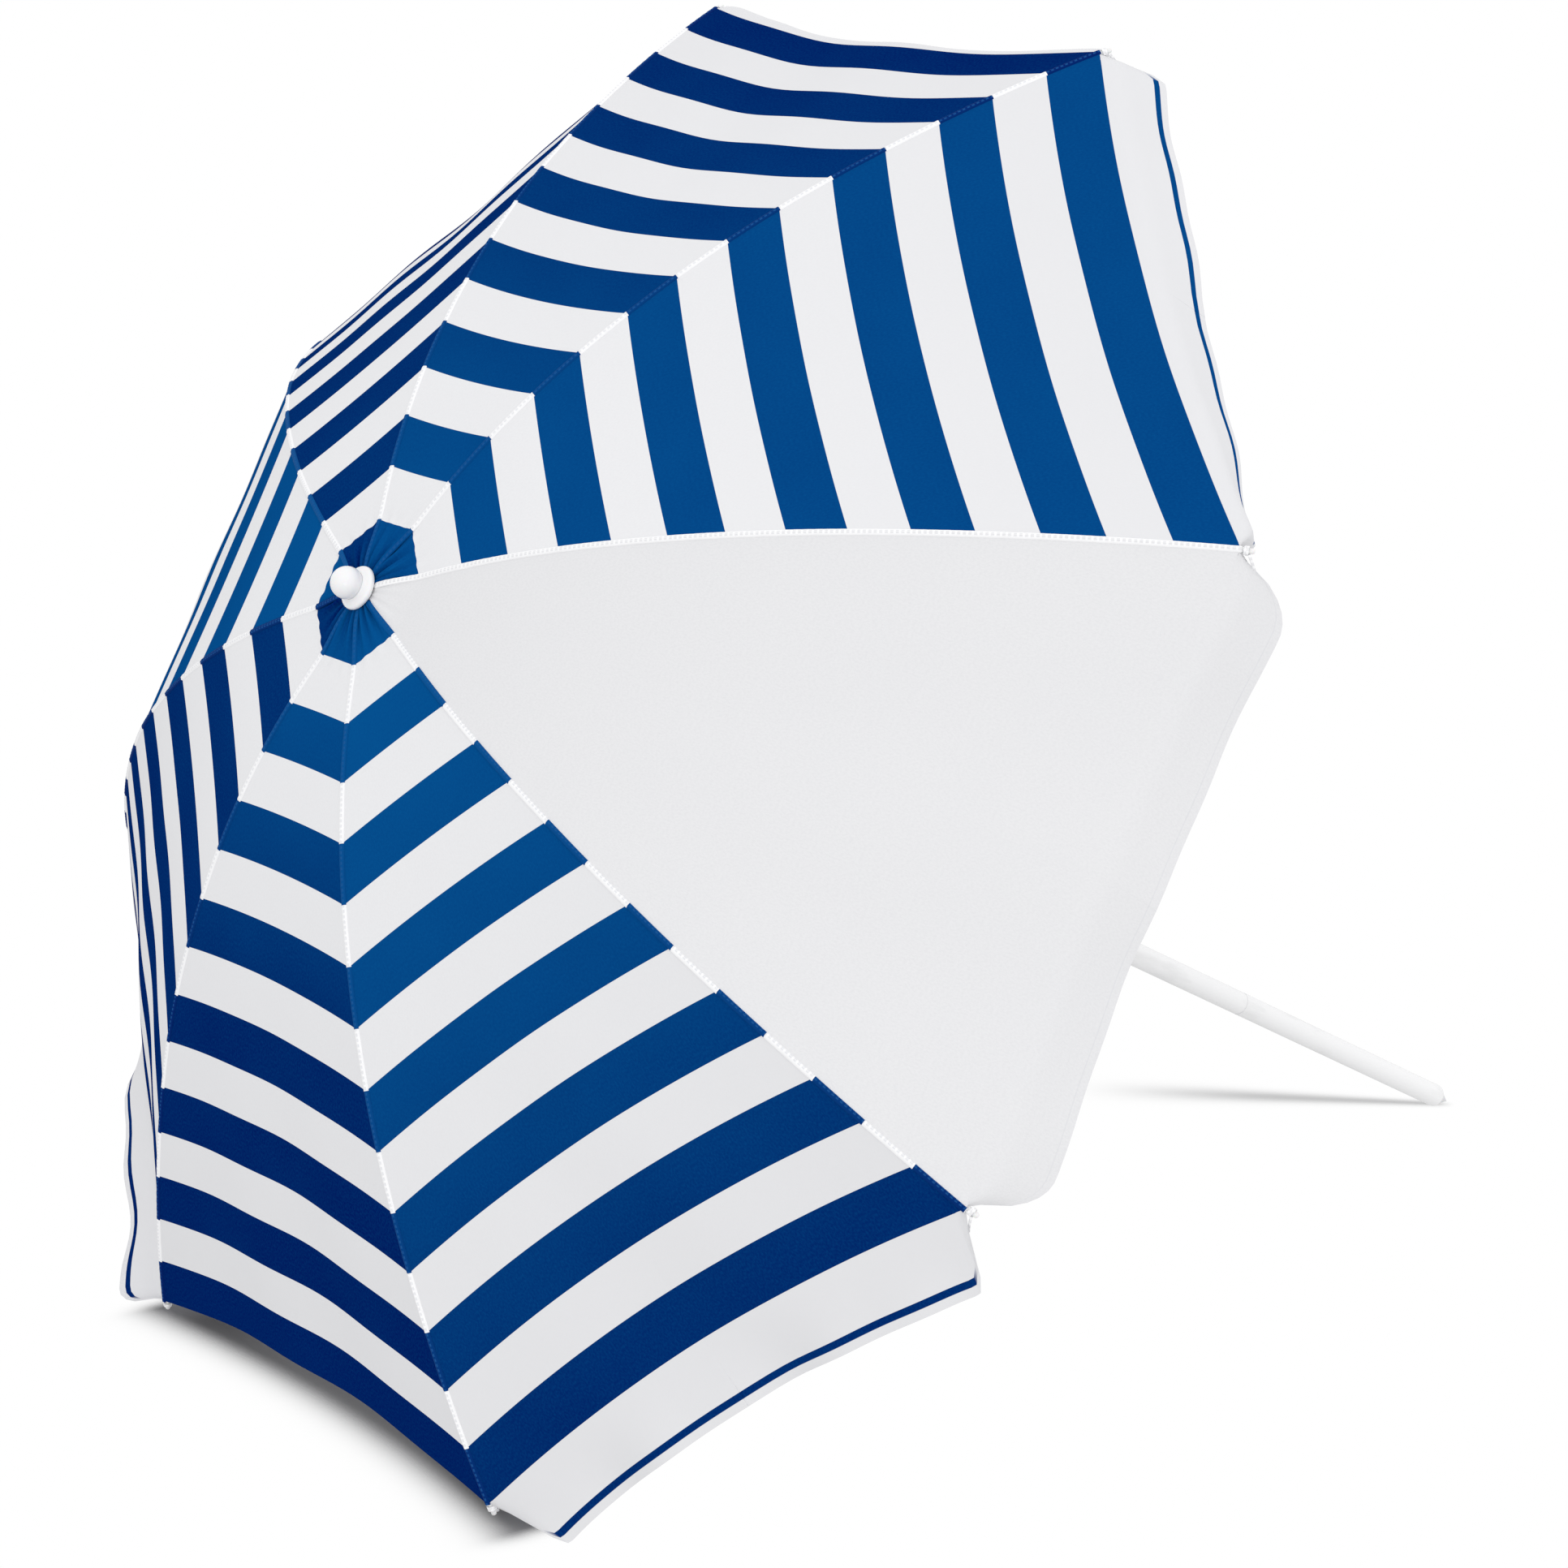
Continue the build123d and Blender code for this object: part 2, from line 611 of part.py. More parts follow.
print(f"runner {runner_open:.1f} to {runner_closed:.1f}, travel {runner_travel:.1f}")
print(f"strut lean {strut_lean:.2f} to {strut_lean_closed:.2f}, tilt pivot {tilt_height:.1f}")
print(f"rim {rim_radius:.1f} at {rim_height:.1f}, slope {rim_slope:.1f}")
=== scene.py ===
import math

import bpy
import numpy as np
from mathutils import Matrix, Vector


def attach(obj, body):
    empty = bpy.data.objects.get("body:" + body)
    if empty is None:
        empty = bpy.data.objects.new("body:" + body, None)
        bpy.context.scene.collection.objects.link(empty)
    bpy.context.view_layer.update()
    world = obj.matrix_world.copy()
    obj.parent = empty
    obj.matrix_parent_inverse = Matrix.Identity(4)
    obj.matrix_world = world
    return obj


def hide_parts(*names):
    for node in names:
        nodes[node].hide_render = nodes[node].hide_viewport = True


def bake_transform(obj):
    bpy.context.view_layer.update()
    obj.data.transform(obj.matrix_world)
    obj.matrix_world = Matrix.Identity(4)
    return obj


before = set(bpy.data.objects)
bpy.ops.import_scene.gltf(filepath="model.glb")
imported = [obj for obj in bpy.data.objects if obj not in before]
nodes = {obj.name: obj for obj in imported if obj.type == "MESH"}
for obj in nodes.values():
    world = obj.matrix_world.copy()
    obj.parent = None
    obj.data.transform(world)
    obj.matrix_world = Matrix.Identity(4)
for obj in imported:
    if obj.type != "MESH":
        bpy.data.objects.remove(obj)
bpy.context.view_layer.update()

print("frame loaded:", len(nodes), "nodes")

# sizes of the frame that the cloth follows, in metres
ribLine = {
    "count": 8,
    "crownHeight": 1.791,          # spike tip to the cloth at the pole axis
    "reach": 0.918,                # along a rib, from the pole axis to the hem seam
    "bends": (20.0, 14.6, 9.2),    # degrees turned over each third of the reach
    "rise": 4.1,                   # degrees the cloth climbs as it leaves the finial
    "cone": 0.0078,                # how far it is drawn up the finial's stem
    "coneRun": (0.024, 0.088),     # where along the rib that rise ends and begins
}
halfStep = math.radians(180 / ribLine["count"])


def ribAzimuth(k):
    # ribs count clockwise from above, with rib 3 and rib 4 either side of -Y
    return math.radians(-90) + halfStep - 2 * halfStep * (k - 3)


def smooth(x, low, high):
    x = np.clip((np.asarray(x, float) - low) / (high - low), 0, 1)
    return x * x * (3 - 2 * x)


def clothLine(s, inset=0.0):
    # three arcs end to end: on each, radius grows by R(sin(a + turn) - sin a)
    # and height falls by R(cos a - cos(a + turn)), with a the slope so far
    s = np.asarray(s, float)
    third = ribLine["reach"] / len(ribLine["bends"])
    r, z = np.zeros_like(s), np.full_like(s, ribLine["crownHeight"])
    slope = np.full_like(s, -math.radians(ribLine["rise"]))
    for i, bend in enumerate(ribLine["bends"]):
        arc = third / math.radians(bend)
        last = i == len(ribLine["bends"]) - 1
        turn = np.clip(s - i * third, 0, np.inf if last else third) / arc
        r += arc * (np.sin(slope + turn) - np.sin(slope))
        z -= arc * (np.cos(slope) - np.cos(slope + turn))
        slope = slope + turn
    z += ribLine["cone"] * (1 - smooth(s, *ribLine["coneRun"]))
    return r - inset * np.sin(slope), z - inset * np.cos(slope), slope


def radial(angle, r, z):
    # a point at radius r and height z, in the direction angle about the pole
    r, z = np.broadcast_arrays(r, z)
    return np.stack([r * np.cos(angle), r * np.sin(angle), z], axis=-1)


# ---- mesh making ----
def gridFaces(rows, columns, closedAcross=False, start=0):
    # quads of a grid of rows by columns points, the last column joined to the first if closed
    across = columns if closedAcross else columns - 1
    i, j = np.meshgrid(np.arange(rows - 1), np.arange(across), indexing="ij")
    nextJ = (j + 1) % columns
    quads = np.stack([i * columns + j, i * columns + nextJ,
                      (i + 1) * columns + nextJ, (i + 1) * columns + j], axis=-1)
    return quads.reshape(-1, 4) + start


def buildMesh(name, points, quads, uv=None, attributes=None, sharpAngle=None):
    mesh = bpy.data.meshes.new(name)
    mesh.from_pydata(points.reshape(-1, 3), [], quads)
    mesh.polygons.foreach_set("use_smooth", np.ones(len(mesh.polygons), bool))
    if uv is not None:
        corner = np.empty(len(mesh.loops), np.int32)
        mesh.loops.foreach_get("vertex_index", corner)
        layer = mesh.uv_layers.new(name="clothMap")
        layer.data.foreach_set("uv", uv.reshape(-1, 2)[corner].astype(np.float32).ravel())
    for label, values in (attributes or {}).items():
        data = mesh.attributes.new(label, "FLOAT", "POINT")
        data.data.foreach_set("value", values.astype(np.float32).ravel())
    if sharpAngle:
        mesh.set_sharp_from_angle(angle=math.radians(sharpAngle))
    mesh.validate()
    mesh.update()
    piece = bpy.data.objects.new(name, mesh)
    bpy.context.scene.collection.objects.link(piece)
    return piece


def gridNormals(points):
    # cross product of the two directions of the grid, made unit length
    normal = np.cross(np.gradient(points, axis=0), np.gradient(points, axis=1))
    return normal / np.maximum(np.linalg.norm(normal, axis=-1, keepdims=True), 1e-12)


def thickSheet(name, points, uv, thickness, attributes=None, flip=False):
    # two copies of the grid, half a thickness either side of it, and a strip round their edge
    rows, columns = points.shape[:2]
    normal = gridNormals(points) * (-1 if flip else 1)
    half = normal * (np.broadcast_to(thickness, (rows, columns))[..., None] / 2)
    shell = np.concatenate([(points + half).reshape(-1, 3), (points - half).reshape(-1, 3)])
    count = rows * columns
    top = gridFaces(rows, columns)
    if flip:
        top = top[:, ::-1]
    edge = np.concatenate([np.arange(columns), np.arange(1, rows) * columns + columns - 1,
                           (rows - 1) * columns + np.arange(columns - 2, -1, -1),
                           np.arange(rows - 2, 0, -1) * columns])
    ahead = np.roll(edge, -1)
    strip = np.stack([edge, edge + count, ahead + count, ahead], axis=-1)
    if flip:
        strip = strip[:, ::-1]
    quads = np.concatenate([top, top[:, ::-1] + count, strip])
    both = {label: np.tile(values.ravel(), 2) for label, values in (attributes or {}).items()}
    return buildMesh(name, shell, quads, np.tile(uv.reshape(-1, 2), (2, 1)), both, sharpAngle=50)


def carryProfile(name, centres, sideways, upward, profile, uv=None, closed=True):
    # each point of the profile is centre + x * sideways + y * upward, ends closed by a fan row
    ring = (centres[:, None] + profile[..., 0, None] * sideways[:, None]
            + profile[..., 1, None] * upward[:, None])
    rows, columns = ring.shape[:2]
    points = np.concatenate([centres[:1, None] + 0 * ring[:1], ring, centres[-1:, None] + 0 * ring[-1:]])
    return buildMesh(name, points, gridFaces(rows + 2, columns, closed),
                     None if uv is None else np.concatenate([uv[:1], uv, uv[-1:]]), sharpAngle=60)


# ---- materials ----
def newMaterial(name, roughness=0.5, **sockets):
    material = bpy.data.materials.new(name)
    material.use_nodes = True
    tree = material.node_tree
    shader = tree.nodes["Principled BSDF"]
    shader.inputs["Roughness"].default_value = roughness
    for socket, value in sockets.items():
        shader.inputs[socket.replace("_", " ")].default_value = value
    return material, tree, shader


def addNode(tree, kind, **settings):
    node = tree.nodes.new(kind)
    for label, value in settings.items():
        setattr(node, label, value)
    return node


def feed(tree, socket, value):
    if isinstance(value, bpy.types.NodeSocket):
        tree.links.new(value, socket)
    else:
        socket.default_value = value


def maths(tree, operation, a, b=0.0, c=0.0):
    node = addNode(tree, "ShaderNodeMath", operation=operation)
    for socket, value in zip(node.inputs, (a, b, c)):
        feed(tree, socket, value)
    return node.outputs[0]


def mixColour(tree, share, a, b):
    node = addNode(tree, "ShaderNodeMix", data_type="RGBA")
    feed(tree, node.inputs[0], share)
    for socket, value in ((node.inputs[6], a), (node.inputs[7], b)):
        feed(tree, socket, value if isinstance(value, bpy.types.NodeSocket) else (*value, 1.0))
    return node.outputs[2]


def noise(tree, where, scale, detail=3.0, stretch=None):
    if stretch:
        mapping = addNode(tree, "ShaderNodeMapping")
        mapping.inputs["Scale"].default_value = stretch
        tree.links.new(where, mapping.inputs["Vector"])
        where = mapping.outputs[0]
    node = addNode(tree, "ShaderNodeTexNoise")
    node.inputs["Scale"].default_value = scale
    node.inputs["Detail"].default_value = detail
    tree.links.new(where, node.inputs["Vector"])
    return node.outputs["Fac"]


def step(tree, value, low, high, softness=0.0):
    # 1 between low and high, 0 outside
    rise = addNode(tree, "ShaderNodeMapRange", clamp=True)
    fall = addNode(tree, "ShaderNodeMapRange", clamp=True)
    for node, edge in ((rise, low), (fall, high)):
        feed(tree, node.inputs["Value"], value)
        node.inputs["From Min"].default_value = edge - softness
        node.inputs["From Max"].default_value = edge + softness + 1e-5
    return maths(tree, "SUBTRACT", rise.outputs[0], fall.outputs[0])


def bump(tree, shader, height, distance, strength=1.0, under=None):
    node = addNode(tree, "ShaderNodeBump")
    node.inputs["Distance"].default_value = distance
    node.inputs["Strength"].default_value = strength
    tree.links.new(height, node.inputs["Height"])
    if under:
        tree.links.new(under, node.inputs["Normal"])
    tree.links.new(node.outputs[0], shader.inputs["Normal"])
    return node.outputs[0]


def clothCoordinates(tree):
    coordinates = addNode(tree, "ShaderNodeUVMap", uv_map="clothMap")
    parts = addNode(tree, "ShaderNodeSeparateXYZ")
    tree.links.new(coordinates.outputs[0], parts.inputs[0])
    return coordinates.outputs[0], parts.outputs[0], parts.outputs[1]


clothLook = {
    # one blue dye drawn twice, as lit and as in painted shade; the cloth's blue is mixed between the two
    "litBlue": (0.0015, 0.073, 0.255),
    "shadedBlue": (0.0003, 0.010, 0.108),
    "white": (0.770, 0.772, 0.786),
    "plainWhite": (0.735, 0.735, 0.747),
    "stripe": 0.060,               # width of one stripe along the rib
    "firstStripe": 0.308,          # where the first blue stripe begins, in stripes from the apex
    "sliver": 0.0070,              # the blue line above the hem
    "yarn": 0.0011,
}


def weave(tree, shader, where, across, along):
    # over and under of the yarns: sin of the across count times sin of the along count
    turns = 2 * math.pi / clothLook["yarn"]
    ups = maths(tree, "MULTIPLY", maths(tree, "SINE", maths(tree, "MULTIPLY", across, turns)),
                maths(tree, "SINE", maths(tree, "MULTIPLY", along, turns)))
    slub = noise(tree, where, 900, 2, (1.0, 0.22, 1.0))
    fine = bump(tree, shader, maths(tree, "MULTIPLY_ADD", slub, 1.4, ups), 0.00012, 0.5)
    wrinkle = noise(tree, where, 9, 4, (1.0, 0.45, 1.0))
    return bump(tree, shader, wrinkle, 0.006, 0.22, fine)


def grain(tree, where):
    # slubs and specks of the yarn, a couple of millimetres long
    return step(tree, noise(tree, where, 520, 2, (1.0, 0.6, 1.0)), 0.54, 2.0, 0.16)


def makeStripedCloth():
    material, tree, shader = newMaterial("striped canopy cloth", 0.72, Specular_IOR_Level=0.0)
    where, across, along = clothCoordinates(tree)
    count = maths(tree, "SUBTRACT", maths(tree, "DIVIDE", along, clothLook["stripe"]),
                  clothLook["firstStripe"])
    inPair = maths(tree, "FRACT", maths(tree, "MULTIPLY", count, 0.5))
    blue = step(tree, inPair, 0.0, 0.5, 0.0012)
    hem = 16 + clothLook["sliver"] / clothLook["stripe"]
    blue = maths(tree, "MULTIPLY", blue, step(tree, count, -9.0, hem, 0.004))
    # the blue line above the hem stops short of the valance's sides
    inside = addNode(tree, "ShaderNodeAttribute", attribute_name="sliver").outputs["Fac"]
    lower = step(tree, count, 15.5, 99.0, 0.01)
    kept = maths(tree, "MAXIMUM", inside, maths(tree, "SUBTRACT", 1.0, lower))
    blue = maths(tree, "MULTIPLY", blue, kept)
    # painted shade and light: the share of the lit blue, given per gore, plus a random mottle of the dye
    shadeTone = addNode(tree, "ShaderNodeAttribute", attribute_name="shadeTone").outputs["Fac"]
    cloudy = noise(tree, where, 7, 3)
    shadeTone = maths(tree, "ADD", shadeTone, maths(tree, "MULTIPLY_ADD", cloudy, 0.24, -0.13))
    dyeAndShade = mixColour(tree, shadeTone, clothLook["shadedBlue"], clothLook["litBlue"])
    thread = grain(tree, where)
    dyeAndShade = mixColour(tree, maths(tree, "MULTIPLY", thread, 0.13), dyeAndShade, (0.004, 0.13, 0.36))
    patchy = maths(tree, "MULTIPLY", cloudy, 0.5)
    pale = mixColour(tree, patchy, clothLook["white"], (0.745, 0.75, 0.772))
    # painted shade: the white is drawn a little greyer towards the rim
    rimShade = addNode(tree, "ShaderNodeMapRange", clamp=True)
    rimShade.inputs["From Min"].default_value = 0.25
    rimShade.inputs["From Max"].default_value = 0.92
    tree.links.new(along, rimShade.inputs["Value"])
    pale = mixColour(tree, maths(tree, "MULTIPLY", rimShade.outputs[0], 0.5), pale, (0.66, 0.66, 0.678))
    pale = mixColour(tree, maths(tree, "MULTIPLY", thread, 0.30), pale, (0.70, 0.70, 0.72))
    tree.links.new(mixColour(tree, blue, pale, dyeAndShade), shader.inputs["Base Color"])
    tree.links.new(maths(tree, "MULTIPLY_ADD", cloudy, 0.16, 0.64), shader.inputs["Roughness"])
    weave(tree, shader, where, across, along)
    return material


def makePlainCloth():
    material, tree, shader = newMaterial("plain canopy cloth", 0.74, Specular_IOR_Level=0.02)
    where, across, along = clothCoordinates(tree)
    cloudy = noise(tree, where, 6, 4)
    patchy = maths(tree, "MULTIPLY", cloudy, 0.6)
    pale = mixColour(tree, patchy, clothLook["plainWhite"], (0.712, 0.715, 0.732))
    fleck = step(tree, noise(tree, where, 46, 1), 0.77, 2.0, 0.02)
    pale = mixColour(tree, maths(tree, "MULTIPLY", fleck, 0.12), pale, (0.62, 0.63, 0.66))
    pale = mixColour(tree, maths(tree, "MULTIPLY", grain(tree, where), 0.30), pale, (0.63, 0.63, 0.65))
    hemLine = step(tree, along, 0.9845, 0.9856, 0.0003)
    pale = mixColour(tree, maths(tree, "MULTIPLY", hemLine, 0.25), pale, (0.55, 0.56, 0.60))
    tree.links.new(pale, shader.inputs["Base Color"])
    tree.links.new(maths(tree, "MULTIPLY_ADD", cloudy, 0.14, 0.66), shader.inputs["Roughness"])
    weave(tree, shader, where, across, along)
    return material


seamLook = {"stitch": 0.0052, "row": 0.00105}


def makeSeam(name, striped):
    # two rows of lockstitch either side of the rib, each stitch a short dash
    material, tree, shader = newMaterial(name, 0.7, Specular_IOR_Level=0.02)
    where, across, along = clothCoordinates(tree)
    count = maths(tree, "SUBTRACT", maths(tree, "DIVIDE", along, clothLook["stripe"]),
                  clothLook["firstStripe"])
    blue = step(tree, maths(tree, "FRACT", maths(tree, "MULTIPLY", count, 0.5)), 0.0, 0.5, 0.002)
    pale = mixColour(tree, noise(tree, where, 60, 2), (0.90, 0.90, 0.91), (0.83, 0.83, 0.84))
    # painted shade: the seam's blue is mixed between a shaded and a lit copy by the painted shade tone of the
    # gore beside it
    shadeTone = addNode(tree, "ShaderNodeAttribute", attribute_name="shadeTone").outputs["Fac"]
    dyeAndShade = mixColour(tree, shadeTone, (0.0004, 0.014, 0.125), (0.002, 0.078, 0.265))
    ground = mixColour(tree, blue, pale, dyeAndShade) if striped else pale
    dash = maths(tree, "FRACT", maths(tree, "DIVIDE", along, seamLook["stitch"]))
    dash = step(tree, dash, 0.15, 0.70, 0.04)
    row = maths(tree, "ABSOLUTE", across)
    row = step(tree, row, 0.3 * seamLook["row"], 1.5 * seamLook["row"], 0.0002)
    stitch = maths(tree, "MULTIPLY", dash, row)
    thread = mixColour(tree, blue, (0.70, 0.71, 0.74), (0.012, 0.085, 0.27)) if striped else (0.70, 0.70, 0.72)
    share = maths(tree, "MULTIPLY", stitch, 0.8)
    tree.links.new(mixColour(tree, share, ground, thread), shader.inputs["Base Color"])
    raised = maths(tree, "MULTIPLY_ADD", noise(tree, where, 500, 2), 0.4, stitch)
    bump(tree, shader, raised, 0.0003, 0.7)
    return material


def makeEnamel(name, colour, roughness, peel, scuff):
    # sprayed enamel: a faint orange peel, and rubbed places where the gloss is gone
    material, tree, shader = newMaterial(name, roughness, Coat_Weight=0.35, Coat_Roughness=0.12)
    where = addNode(tree, "ShaderNodeTexCoord").outputs["Object"]
    rubbed = step(tree, noise(tree, where, 34, 5, (1.0, 1.0, 0.25)), 0.60, 2.0, 0.05)
    worn = tuple(0.80 * c for c in colour)
    shade = mixColour(tree, maths(tree, "MULTIPLY", rubbed, scuff), colour, worn)
    tree.links.new(shade, shader.inputs["Base Color"])
    tree.links.new(maths(tree, "MULTIPLY_ADD", rubbed, 0.22, roughness), shader.inputs["Roughness"])
    bump(tree, shader, noise(tree, where, 420, 2), peel, 0.35)
    return material


def makePlastic(name, colour, roughness, grain):
    # moulded plastic: a fine grain and a faint cloud where it cooled unevenly
    material, tree, shader = newMaterial(name, roughness, Subsurface_Weight=0.08,
                                         Subsurface_Scale=0.004, Specular_IOR_Level=0.5)
    where = addNode(tree, "ShaderNodeTexCoord").outputs["Object"]
    cloud = noise(tree, where, 70, 3)
    shade = mixColour(tree, cloud, colour, tuple(0.93 * c for c in colour))
    tree.links.new(shade, shader.inputs["Base Color"])
    dull = maths(tree, "MULTIPLY_ADD", cloud, 0.12, roughness - 0.06)
    tree.links.new(dull, shader.inputs["Roughness"])
    bump(tree, shader, noise(tree, where, 1400, 2), grain, 0.4)
    return material


def makeSteel(name):
    # drawn steel: fine scratches round the pin over a cloudy zinc colour
    material, tree, shader = newMaterial(name, 0.34, Metallic=1.0)
    where = addNode(tree, "ShaderNodeTexCoord").outputs["Object"]
    scratch = noise(tree, where, 900, 3, (1.0, 1.0, 0.1))
    shade = mixColour(tree, scratch, (0.62, 0.63, 0.64), (0.46, 0.47, 0.49))
    tree.links.new(shade, shader.inputs["Base Color"])
    tree.links.new(maths(tree, "MULTIPLY_ADD", scratch, 0.25, 0.22), shader.inputs["Roughness"])
    bump(tree, shader, scratch, 0.00005, 0.4)
    return material


finishes = {
    "stripedCloth": makeStripedCloth(),
    "plainCloth": makePlainCloth(),
    "stripedSeam": makeSeam("striped rib seam", True),
    "plainSeam": makeSeam("plain rib seam", False),
    "poleEnamel": makeEnamel("white pole enamel", (0.80, 0.80, 0.805), 0.30, 0.00008, 0.35),
    "frameEnamel": makeEnamel("white rib enamel", (0.77, 0.77, 0.775), 0.36, 0.00006, 0.5),
    "finialGloss": makePlastic("glossy finial plastic", (0.84, 0.84, 0.85), 0.16, 0.00002),
    "spikePlastic": makePlastic("pale grey spike plastic", (0.66, 0.66, 0.68), 0.42, 0.00006),
    "ribEndPlastic": makePlastic("white rib end plastic", (0.80, 0.80, 0.80), 0.38, 0.00004),
    "fittingPlastic": makePlastic("white fitting plastic", (0.76, 0.76, 0.765), 0.44, 0.00005),
    "knobPlastic": makePlastic("knob plastic", (0.70, 0.71, 0.73), 0.40, 0.00007),
    "pinSteel": makeSteel("zinc plated pin steel"),
}
print("materials made:", len(finishes))

# what each CAD node is finished in, by the start of its name
nodeFinish = {
    "lower_pole": "poleEnamel", "middle_pole": "poleEnamel", "top_pole": "poleEnamel",
    "ground_spike": "spikePlastic", "pole_clamp": "fittingPlastic", "clamp_knob": "knobPlastic",
    "tilt_fork": "fittingPlastic", "tilt_tongue": "fittingPlastic", "tilt_pin": "pinSteel",
    "tilt_button": "knobPlastic", "crown_hub": "fittingPlastic", "crown_pins": "pinSteel",
    "finial": "finialGloss", "runner_catch": "pinSteel", "runner": "fittingPlastic",
    "rib_fittings": "ribEndPlastic", "rib_": "frameEnamel", "strut_": "frameEnamel",
}
for name, node in nodes.items():
    key = next((k for k in sorted(nodeFinish, key=len, reverse=True) if name.startswith(k)), None)
    if key:
        node.data.materials.clear()
        node.data.materials.append(finishes[nodeFinish[key]])

# ---- canopy: sixteen half gores, each one curved sheet from the crown to the valance's hem ----
canopy = {
    "start": 0.0145,               # radius of the hole round the finial's stem
    "rows": 170,
    "columns": 26,
    "thickness": 0.0008,
    # how far each gore's rim pulls in towards the crown between its ribs
    "bow": {"12": 0.044, "23": 0.019, "34": 0.015, "45": 0.026,
            "56": 0.032, "67": 0.036, "78": 0.045, "81": 0.045},
    "blendEnd": 0.304,             # how far from the rib's plane the cloth follows its own fold
    "valanceDrop": 0.076,
    "valanceRows": 22,
    "splitFromRib": 0.006,         # the valance starts this far from the rib's plane
    "foldRun": 0.034,              # how far the cloth takes to turn from the gore's slope to the valance's
    "creased": {"56": 0.004},      # and where it is creased along the rim instead
    "sliverEnd": 0.017,            # the blue line stops this far from the rib's plane
    "hemDepth": 0.0085,
    "hemRise": 0.001,
    "hemThicker": 1.1,
    "tuckRun": 0.11,               # how far in from a rib the valance's tuck is felt
    "gatherRun": (0.026, 0.105),   # the pleats by the finial, deepest at the first and gone at the second
    "gatherDepth": {"34": 0.0005},
    "gatherDeep": 0.0028,
    "slackDepth": 0.0030,
}
# each gore's valance: flare in degrees at its lower rib, its middle and its higher rib, how far its
# two sides lean in towards its middle, how round its corners are, its slide along the rim, its ripple
valances = {
    "12": {"flare": (8, 0, -6), "tuck": (0.004, 0.008),
           "corner": 0.012, "slide": 0.000, "ripple": 0.004, "phase": 0.1},
    "23": {"flare": (12, 4, -34), "tuck": (0.004, 0.036),
           "corner": 0.016, "slide": 0.002, "ripple": 0.004, "phase": 0.55},
    "34": {"flare": (10, 14, 12), "tuck": (0.012, 0.012),
           "corner": 0.045, "slide": 0.008, "ripple": 0.003, "phase": 0.3},
    "45": {"flare": (46, 50, 50), "tuck": (0.028, 0.044),
           "corner": 0.016, "slide": 0.002, "ripple": 0.008, "phase": 0.8},
    "56": {"flare": (-22, -26, -22), "tuck": (0.006, 0.006),
           "corner": 0.012, "slide": 0.000, "ripple": 0.004, "phase": 0.2},
    "67": {"flare": (104, 60, 14), "tuck": (0.016, 0.006),
           "corner": 0.030, "slide": 0.004, "ripple": 0.009, "phase": 0.4},
    "78": {"flare": (10, 8, 6), "tuck": (0.004, 0.004),
           "corner": 0.012, "slide": 0.000, "ripple": 0.006, "phase": 0.7},
    "81": {"flare": (6, 8, 10), "tuck": (0.004, 0.004),
           "corner": 0.012, "slide": 0.000, "ripple": 0.006, "phase": 0.9},
}
# how lit the blue is painted by the crown, half way out and at the rim, from 0 deep shaded blue to 1 bright
# lit blue
paintedShadeByGore = {
    "12": (0.82, 0.34, 0.04), "23": (0.80, 0.68, 0.70), "34": (1.0, 1.0, 1.0), "45": (1.0, 0.70, 0.16),
    "56": (0.85, 0.08, 0.0), "67": (0.24, 0.12, 0.03), "78": (1.0, 0.75, 0.40), "81": (0.25, 0.12, 0.05),
}


shadeStations = (0.12, 0.50, 0.90)   # where along the rib those three are taken
# painted shade and light on the pleats by the finial: how far out it reaches and how strong it is
pleatShading = {"run": (0.030, 0.082), "depth": 0.30}


def shadeToneAlong(gore, s):
    return np.interp(s, shadeStations, paintedShadeByGore[gore])


def goreSurface(k, side, gore, s, t):
    # rib point, plus the straight run to mid gore, plus the inward bow that grows with
    # the square of the way out and levels off at mid gore as 1 - (1 - t)^2
    r, z, slope = clothLine(s)
    atRib = radial(ribAzimuth(k), r, z)
    middle = ribAzimuth(k) + side * halfStep
    atMiddle = radial(middle, r * math.cos(halfStep), z)
    bow = canopy["bow"][gore] * (s / ribLine["reach"]) ** 2
    pull = radial(middle, -bow * np.cos(slope), bow * np.sin(slope))
    t = t[None, :, None]
    return atRib[:, None] + (atMiddle - atRib)[:, None] * t + pull[:, None] * (1 - (1 - t) ** 2)


